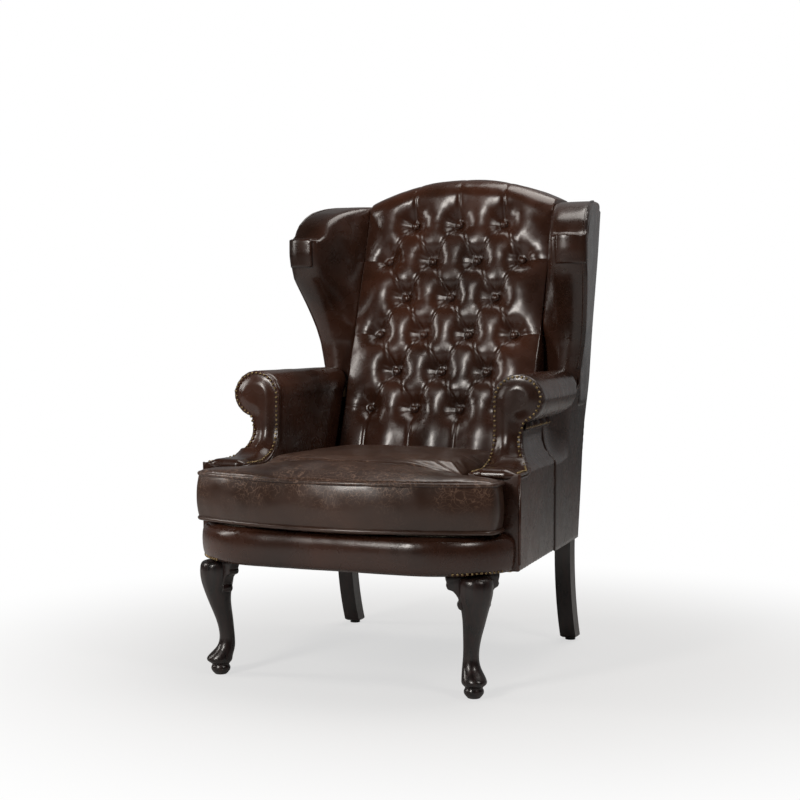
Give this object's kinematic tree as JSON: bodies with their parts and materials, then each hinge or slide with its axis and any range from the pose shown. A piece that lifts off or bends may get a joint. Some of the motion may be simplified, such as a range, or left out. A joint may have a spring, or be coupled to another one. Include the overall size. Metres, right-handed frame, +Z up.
{
  "type": "wingback chair",
  "caption": "Wing chair in dark leather with diamond-tufted back, rolled arms, loose T-shaped seat cushion and carved cabriole front legs.",
  "frame": {"origin": "on the floor, under the middle of the chair's width and depth", "axes": "+Z up; the chair faces -Y; +X is the right-hand side as seen from the front"},
  "size_m": [0.743, 0.9122, 1.1],
  "materials": {
    "leather": "hand-dyed dark brown hide, waxed gloss",
    "mahogany": "near-black mahogany stain, polished",
    "beech": "unfinished beech frame",
    "bolt_steel": "plain steel",
    "glide_plastic": "black nylon",
    "webbing": "woven jute",
    "stuffing": "foam and felt",
    "lining": "dark lining cloth"
  },
  "bodies": {
    "root": {"arm_facing_left": "leather", "arm_facing_right": "leather", "arm_front_cover_left": "leather", "arm_front_cover_right": "leather", "arm_gimp_left": "leather", "arm_gimp_right": "leather", "arm_pad_left": "leather", "arm_pad_right": "leather", "arm_post_left": "beech", "arm_post_right": "beech", "arm_rail_left": "beech", "arm_rail_right": "beech", "arm_tacking_rail_left": "beech", "arm_tacking_rail_right": "beech", "back_buttons": "leather", "back_seat_rail": "beech", "back_stuffing": "stuffing", "back_upright_left": "beech", "back_upright_right": "beech", "back_webbing": "webbing", "corner_blocks": "beech", "deck_cover": "lining", "deck_pad": "stuffing", "dust_cover": "lining", "frame_dowels": "beech", "front_border": "leather", "front_leg_left": "mahogany", "front_leg_right": "mahogany", "front_seat_rail": "beech", "inside_back_cover": "leather", "knee_brackets": "mahogany", "leg_bolts": "bolt_steel", "lower_back_rail": "beech", "outside_arm_cover_left": "leather", "outside_arm_cover_right": "leather", "outside_back_cover": "leather", "outside_wing_cover_left": "leather", "outside_wing_cover_right": "leather", "post_piping": "leather", "rear_glides": "glide_plastic", "rear_leg_left": "mahogany", "rear_leg_right": "mahogany", "seat_webbing": "webbing", "side_seat_rail_left": "beech", "side_seat_rail_right": "beech", "top_back_rail": "beech", "wing_frame_left": "beech", "wing_frame_right": "beech", "wing_pad_left": "leather", "wing_pad_right": "leather", "wing_strap_left": "leather", "wing_strap_right": "leather"},
    "seat_cushion": {"seat_cushion_core": "stuffing", "seat_cushion_cover": "leather", "seat_cushion_piping": "leather"}
  },
  "joints": [
    {"name": "seat_cushion_lift", "type": "slide", "parent": "root", "child": "seat_cushion", "axis": [0, 0, 1], "range_m": [0, 0.35]}
  ]
}
